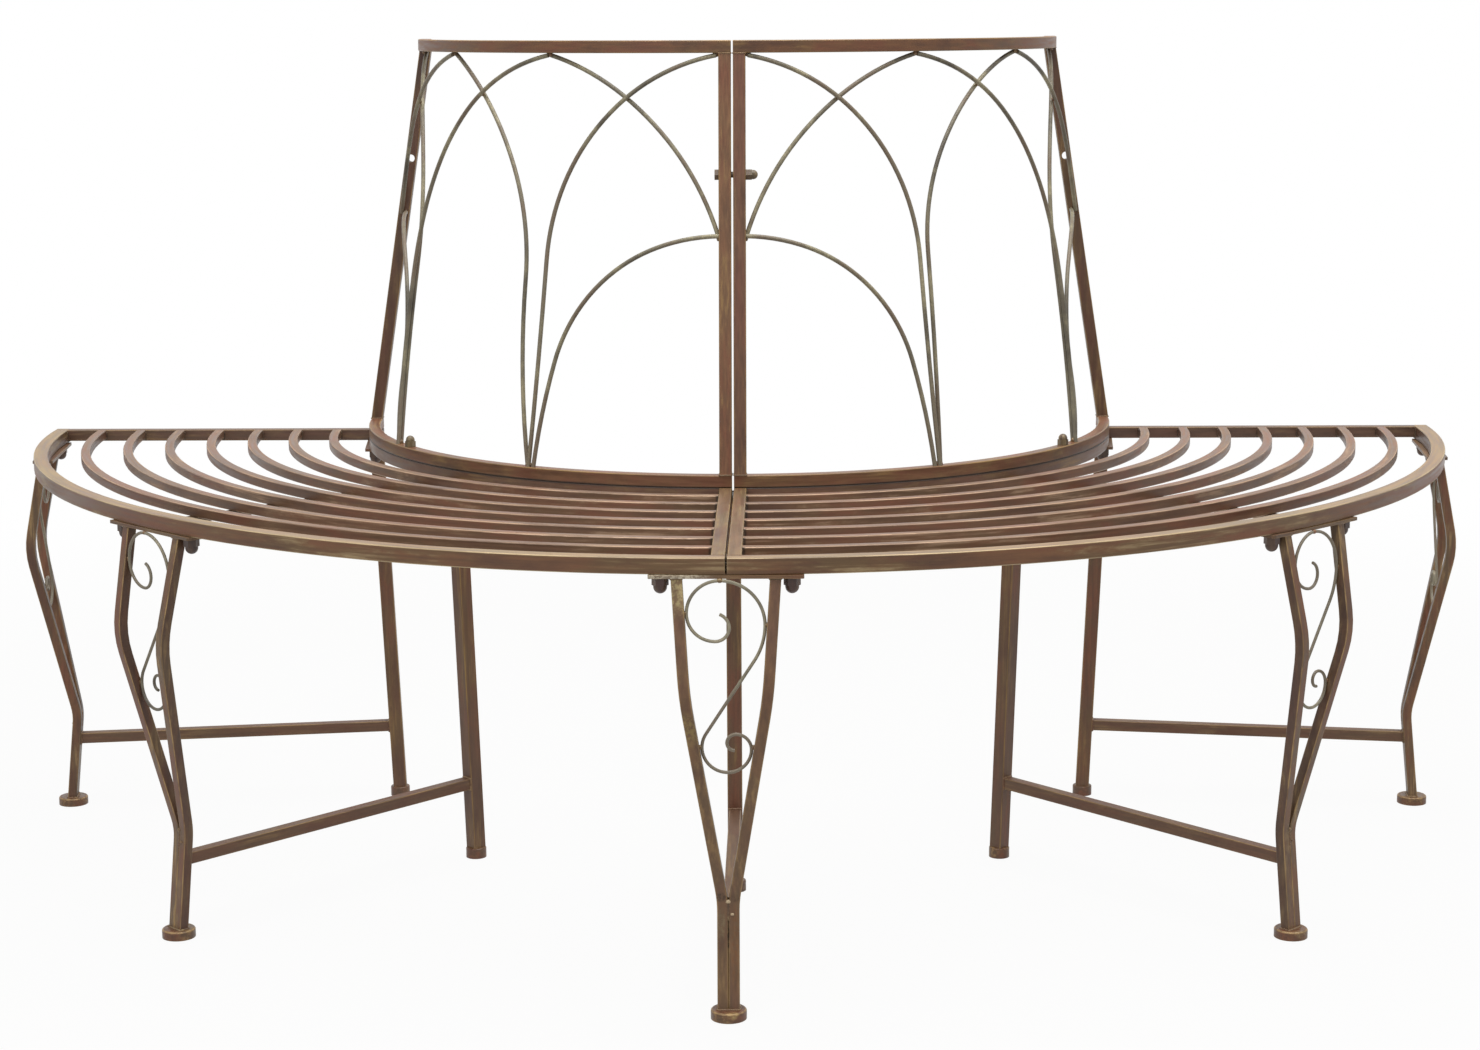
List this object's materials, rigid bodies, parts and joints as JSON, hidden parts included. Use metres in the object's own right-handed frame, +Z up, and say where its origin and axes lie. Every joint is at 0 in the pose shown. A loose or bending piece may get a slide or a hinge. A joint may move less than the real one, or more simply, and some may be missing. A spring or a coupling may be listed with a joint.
{
  "type": "half-round tree bench",
  "caption": "Half-round steel bench that wraps one side of a tree trunk, with a ring seat of curved slats, a leaning arched backrest and scrolled legs.",
  "frame": {"origin": "where the axis of the tree trunk, the centre of the half circle, meets the floor", "axes": "+X to the right as seen from the front, +Y from the front towards the straight back edge, +Z up; a sitter faces outward, away from the origin"},
  "size_m": [1.6002, 0.8, 0.861],
  "materials": {
    "seat_steel": "antique bronze paint with brushed gold edges",
    "slat_steel": "antique bronze paint, lighter on top",
    "backrest_steel": "antique bronze paint with brushed gold patches",
    "rod_steel": "olive bronze paint, worn",
    "leg_steel": "antique bronze paint with brushed gold edges",
    "foot_steel": "antique bronze paint, gold on the upper edge",
    "cap_nut_steel": "dark brown",
    "stud_steel": "plain thread, hidden in the nuts"
  },
  "bodies": {
    "root": {"backrest_bolts": "cap_nut_steel", "backrest_cap_nuts": "cap_nut_steel", "far_left_front_leg": "leg_steel", "far_left_rear_leg": "leg_steel", "far_left_scroll": "rod_steel", "far_left_stretcher": "leg_steel", "far_right_front_leg": "leg_steel", "far_right_rear_leg": "leg_steel", "far_right_scroll": "rod_steel", "far_right_stretcher": "leg_steel", "left_arch_rods": "rod_steel", "left_bottom_rail": "backrest_steel", "left_centre_bar": "seat_steel", "left_centre_post": "backrest_steel", "left_end_bar": "seat_steel", "left_end_post": "backrest_steel", "left_front_leg": "leg_steel", "left_inner_rim": "seat_steel", "left_outer_rim": "seat_steel", "left_rear_leg": "leg_steel", "left_scroll": "rod_steel", "left_slat_1": "slat_steel", "left_slat_2": "slat_steel", "left_slat_3": "slat_steel", "left_slat_4": "slat_steel", "left_slat_5": "slat_steel", "left_slat_6": "slat_steel", "left_slat_7": "slat_steel", "left_slat_support": "seat_steel", "left_stretcher": "leg_steel", "left_top_rail": "backrest_steel", "leg_cap_nuts": "cap_nut_steel", "leg_feet": "foot_steel", "leg_plates": "leg_steel", "leg_studs": "stud_steel", "middle_front_leg": "leg_steel", "middle_rear_leg": "leg_steel", "middle_scroll": "rod_steel", "middle_stretcher": "leg_steel", "right_arch_rods": "rod_steel", "right_bottom_rail": "backrest_steel", "right_centre_bar": "seat_steel", "right_centre_post": "backrest_steel", "right_end_bar": "seat_steel", "right_end_post": "backrest_steel", "right_front_leg": "leg_steel", "right_inner_rim": "seat_steel", "right_outer_rim": "seat_steel", "right_rear_leg": "leg_steel", "right_scroll": "rod_steel", "right_slat_1": "slat_steel", "right_slat_2": "slat_steel", "right_slat_3": "slat_steel", "right_slat_4": "slat_steel", "right_slat_5": "slat_steel", "right_slat_6": "slat_steel", "right_slat_7": "slat_steel", "right_slat_support": "seat_steel", "right_stretcher": "leg_steel", "right_top_rail": "backrest_steel"}
  },
  "joints": []
}
